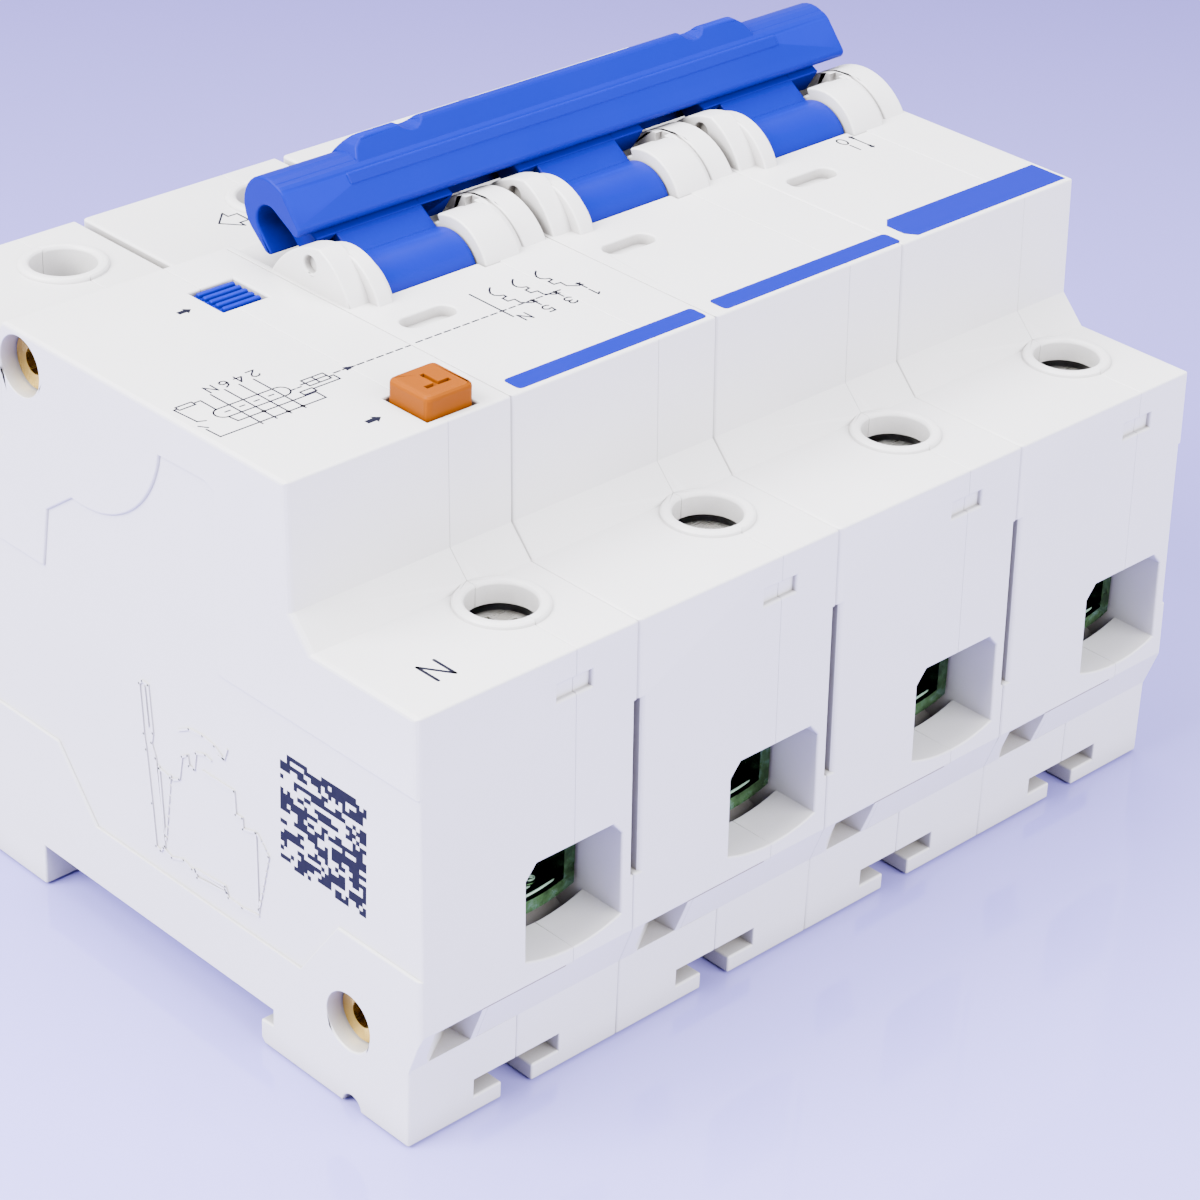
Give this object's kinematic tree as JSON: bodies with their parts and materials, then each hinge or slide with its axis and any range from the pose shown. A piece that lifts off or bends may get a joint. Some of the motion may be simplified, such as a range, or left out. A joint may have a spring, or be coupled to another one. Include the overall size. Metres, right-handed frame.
{
  "type": "residual current device",
  "caption": "Modular residual-current circuit breaker for rail mounting, with a neutral module, a linked toggle bar, test and reset push buttons and screw cage terminals at both ends.",
  "frame": {"origin": "centre of the device's footprint, at the underside of its feet", "axes": "+X from the neutral module towards the last pole, +Y from the line terminals towards the load terminals, +Z out of the rail towards the toggle"},
  "size_m": [0.108, 0.088, 0.0739],
  "materials": {
    "housing": "satin, very light moulded grain",
    "handle": "semi-gloss",
    "test_button": "semi-gloss",
    "clamp_plating": "dark chromated, slightly iridescent",
    "steel": "zinc plated",
    "dark_steel": "phosphated",
    "copper": "plain copper",
    "winding_copper": "enamelled",
    "core_grey": "coated",
    "board_green": "solder resist",
    "inner_plastic": "matt",
    "brass": "rolled"
  },
  "bodies": {
    "housing": {"neutral_case": "housing", "neutral_cover": "housing", "pole1_case": "housing", "pole1_cover": "housing", "pole1_fixed_contact": "copper", "pole1_arc_chute": "dark_steel", "pole1_magnet_coil": "winding_copper", "pole1_bimetal": "copper", "pole2_case": "housing", "pole2_cover": "housing", "pole2_fixed_contact": "copper", "pole2_arc_chute": "dark_steel", "pole2_magnet_coil": "winding_copper", "pole2_bimetal": "copper", "pole3_case": "housing", "pole3_cover": "housing", "pole3_fixed_contact": "copper", "pole3_arc_chute": "dark_steel", "pole3_magnet_coil": "winding_copper", "pole3_bimetal": "copper", "neutral_bar": "copper", "sensor_core": "core_grey", "sensor_winding": "winding_copper", "circuit_board": "board_green", "trip_relay": "dark_steel", "eyelet_rivets": "brass"},
    "handle": {"handle_bar": "handle", "pole1_drum": "handle", "pole2_drum": "handle", "pole3_drum": "handle"},
    "pole1_arm": {"pole1_contact_arm": "copper"},
    "pole2_arm": {"pole2_contact_arm": "copper"},
    "pole3_arm": {"pole3_contact_arm": "copper"},
    "pole1_linkage": {"pole1_link": "steel"},
    "pole2_linkage": {"pole2_link": "steel"},
    "pole3_linkage": {"pole3_link": "steel"},
    "test_push": {"test_button": "test_button", "test_spring": "steel"},
    "reset_push": {"reset_button": "handle"},
    "neutral_line_cage": {"neutral_line_clamp": "clamp_plating"},
    "neutral_line_turn": {"neutral_line_screw": "steel"},
    "pole1_line_cage": {"pole1_line_clamp": "clamp_plating"},
    "pole1_line_turn": {"pole1_line_screw": "steel"},
    "pole2_line_cage": {"pole2_line_clamp": "clamp_plating"},
    "pole2_line_turn": {"pole2_line_screw": "steel"},
    "pole3_line_cage": {"pole3_line_clamp": "clamp_plating"},
    "pole3_line_turn": {"pole3_line_screw": "steel"},
    "neutral_load_cage": {"neutral_load_clamp": "clamp_plating"},
    "neutral_load_turn": {"neutral_load_screw": "steel"},
    "pole1_load_cage": {"pole1_load_clamp": "clamp_plating"},
    "pole1_load_turn": {"pole1_load_screw": "steel"},
    "pole2_load_cage": {"pole2_load_clamp": "clamp_plating"},
    "pole2_load_turn": {"pole2_load_screw": "steel"},
    "pole3_load_cage": {"pole3_load_clamp": "clamp_plating"},
    "pole3_load_turn": {"pole3_load_screw": "steel"},
    "clip_1": {"rail_clip_1": "inner_plastic"},
    "clip_2": {"rail_clip_2": "inner_plastic"},
    "clip_3": {"rail_clip_3": "inner_plastic"},
    "clip_4": {"rail_clip_4": "inner_plastic"},
    "trip": {"trip_bar": "inner_plastic"}
  },
  "joints": [
    {"name": "handle_turn", "type": "hinge", "parent": "housing", "child": "handle", "pos_m": [0, 0.0033, 0.0614], "axis": [1, 0, 0], "range_deg": [0, 84]},
    {"name": "pole1_arm_turn", "type": "hinge", "parent": "housing", "child": "pole1_arm", "pos_m": [-0.0142, 0.013, 0.038], "axis": [1, 0, 0], "range_deg": [0, 15.6]},
    {"name": "pole2_arm_turn", "type": "hinge", "parent": "housing", "child": "pole2_arm", "pos_m": [0.0128, 0.013, 0.038], "axis": [1, 0, 0], "range_deg": [0, 15.6]},
    {"name": "pole3_arm_turn", "type": "hinge", "parent": "housing", "child": "pole3_arm", "pos_m": [0.0398, 0.013, 0.038], "axis": [1, 0, 0], "range_deg": [0, 15.6]},
    {"name": "pole1_link_turn", "type": "hinge", "parent": "handle", "child": "pole1_linkage", "pos_m": [-0.015, -0.00102, 0.05983], "axis": [1, 0, 0], "range_deg": [-101.5, 0]},
    {"name": "pole2_link_turn", "type": "hinge", "parent": "handle", "child": "pole2_linkage", "pos_m": [0.012, -0.00102, 0.05983], "axis": [1, 0, 0], "range_deg": [-101.5, 0]},
    {"name": "pole3_link_turn", "type": "hinge", "parent": "handle", "child": "pole3_linkage", "pos_m": [0.039, -0.00102, 0.05983], "axis": [1, 0, 0], "range_deg": [-101.5, 0]},
    {"name": "test_press", "type": "slide", "parent": "housing", "child": "test_push", "axis": [0, 0, -1], "range_m": [0, 0.0015], "stiffness_N_per_m": 200, "springref_m": -0.002, "deforming": ["test_spring"]},
    {"name": "reset_pop", "type": "slide", "parent": "housing", "child": "reset_push", "axis": [0, 0, 1], "range_m": [0, 0.0025]},
    {"name": "neutral_line_screw_turn", "type": "hinge", "parent": "housing", "child": "neutral_line_turn", "pos_m": [-0.0347, -0.0325, 0.042], "axis": [0, 0, -1], "range_deg": [0, 2163]},
    {"name": "neutral_line_clamp_lift", "type": "slide", "parent": "housing", "child": "neutral_line_cage", "axis": [0, 0, 1], "range_m": [0, 0.006]},
    {"name": "pole1_line_screw_turn", "type": "hinge", "parent": "housing", "child": "pole1_line_turn", "pos_m": [-0.0077, -0.0325, 0.042], "axis": [0, 0, -1], "range_deg": [0, 2163]},
    {"name": "pole1_line_clamp_lift", "type": "slide", "parent": "housing", "child": "pole1_line_cage", "axis": [0, 0, 1], "range_m": [0, 0.006]},
    {"name": "pole2_line_screw_turn", "type": "hinge", "parent": "housing", "child": "pole2_line_turn", "pos_m": [0.0193, -0.0325, 0.042], "axis": [0, 0, -1], "range_deg": [0, 2163]},
    {"name": "pole2_line_clamp_lift", "type": "slide", "parent": "housing", "child": "pole2_line_cage", "axis": [0, 0, 1], "range_m": [0, 0.006]},
    {"name": "pole3_line_screw_turn", "type": "hinge", "parent": "housing", "child": "pole3_line_turn", "pos_m": [0.0463, -0.0325, 0.042], "axis": [0, 0, -1], "range_deg": [0, 2163]},
    {"name": "pole3_line_clamp_lift", "type": "slide", "parent": "housing", "child": "pole3_line_cage", "axis": [0, 0, 1], "range_m": [0, 0.006]},
    {"name": "neutral_load_screw_turn", "type": "hinge", "parent": "housing", "child": "neutral_load_turn", "pos_m": [-0.0347, 0.0346, 0.042], "axis": [0, 0, -1], "range_deg": [0, 2163]},
    {"name": "neutral_load_clamp_lift", "type": "slide", "parent": "housing", "child": "neutral_load_cage", "axis": [0, 0, 1], "range_m": [0, 0.006]},
    {"name": "pole1_load_screw_turn", "type": "hinge", "parent": "housing", "child": "pole1_load_turn", "pos_m": [-0.0077, 0.0346, 0.042], "axis": [0, 0, -1], "range_deg": [0, 2163]},
    {"name": "pole1_load_clamp_lift", "type": "slide", "parent": "housing", "child": "pole1_load_cage", "axis": [0, 0, 1], "range_m": [0, 0.006]},
    {"name": "pole2_load_screw_turn", "type": "hinge", "parent": "housing", "child": "pole2_load_turn", "pos_m": [0.0193, 0.0346, 0.042], "axis": [0, 0, -1], "range_deg": [0, 2163]},
    {"name": "pole2_load_clamp_lift", "type": "slide", "parent": "housing", "child": "pole2_load_cage", "axis": [0, 0, 1], "range_m": [0, 0.006]},
    {"name": "pole3_load_screw_turn", "type": "hinge", "parent": "housing", "child": "pole3_load_turn", "pos_m": [0.0463, 0.0346, 0.042], "axis": [0, 0, -1], "range_deg": [0, 2163]},
    {"name": "pole3_load_clamp_lift", "type": "slide", "parent": "housing", "child": "pole3_load_cage", "axis": [0, 0, 1], "range_m": [0, 0.006]},
    {"name": "rail_clip_1_slide", "type": "slide", "parent": "housing", "child": "clip_1", "axis": [0, 1, 0], "range_m": [0, 0.0022]},
    {"name": "rail_clip_2_slide", "type": "slide", "parent": "housing", "child": "clip_2", "axis": [0, 1, 0], "range_m": [0, 0.0022]},
    {"name": "rail_clip_3_slide", "type": "slide", "parent": "housing", "child": "clip_3", "axis": [0, 1, 0], "range_m": [0, 0.0022]},
    {"name": "rail_clip_4_slide", "type": "slide", "parent": "housing", "child": "clip_4", "axis": [0, 1, 0], "range_m": [0, 0.0022]},
    {"name": "trip_bar_turn", "type": "hinge", "parent": "housing", "child": "trip", "pos_m": [0, -0.0056, 0.057], "axis": [1, 0, 0], "range_deg": [0, 15], "stiffness_Nm_per_rad": 0.004, "springref_deg": -11.46}
  ],
  "couplings": [
    {"joint": "pole1_arm_turn", "follows": "handle_turn", "ratio": 0.1835},
    {"joint": "pole2_arm_turn", "follows": "handle_turn", "ratio": 0.1835},
    {"joint": "pole3_arm_turn", "follows": "handle_turn", "ratio": 0.1835},
    {"joint": "pole1_link_turn", "follows": "handle_turn", "ratio": -1.2036},
    {"joint": "pole2_link_turn", "follows": "handle_turn", "ratio": -1.2036},
    {"joint": "pole3_link_turn", "follows": "handle_turn", "ratio": -1.2036},
    {"joint": "neutral_line_screw_turn", "follows": "neutral_line_clamp_lift", "rad_per_m": 6283.2},
    {"joint": "pole1_line_screw_turn", "follows": "pole1_line_clamp_lift", "rad_per_m": 6283.2},
    {"joint": "pole2_line_screw_turn", "follows": "pole2_line_clamp_lift", "rad_per_m": 6283.2},
    {"joint": "pole3_line_screw_turn", "follows": "pole3_line_clamp_lift", "rad_per_m": 6283.2},
    {"joint": "neutral_load_screw_turn", "follows": "neutral_load_clamp_lift", "rad_per_m": 6283.2},
    {"joint": "pole1_load_screw_turn", "follows": "pole1_load_clamp_lift", "rad_per_m": 6283.2},
    {"joint": "pole2_load_screw_turn", "follows": "pole2_load_clamp_lift", "rad_per_m": 6283.2},
    {"joint": "pole3_load_screw_turn", "follows": "pole3_load_clamp_lift", "rad_per_m": 6283.2}
  ]
}
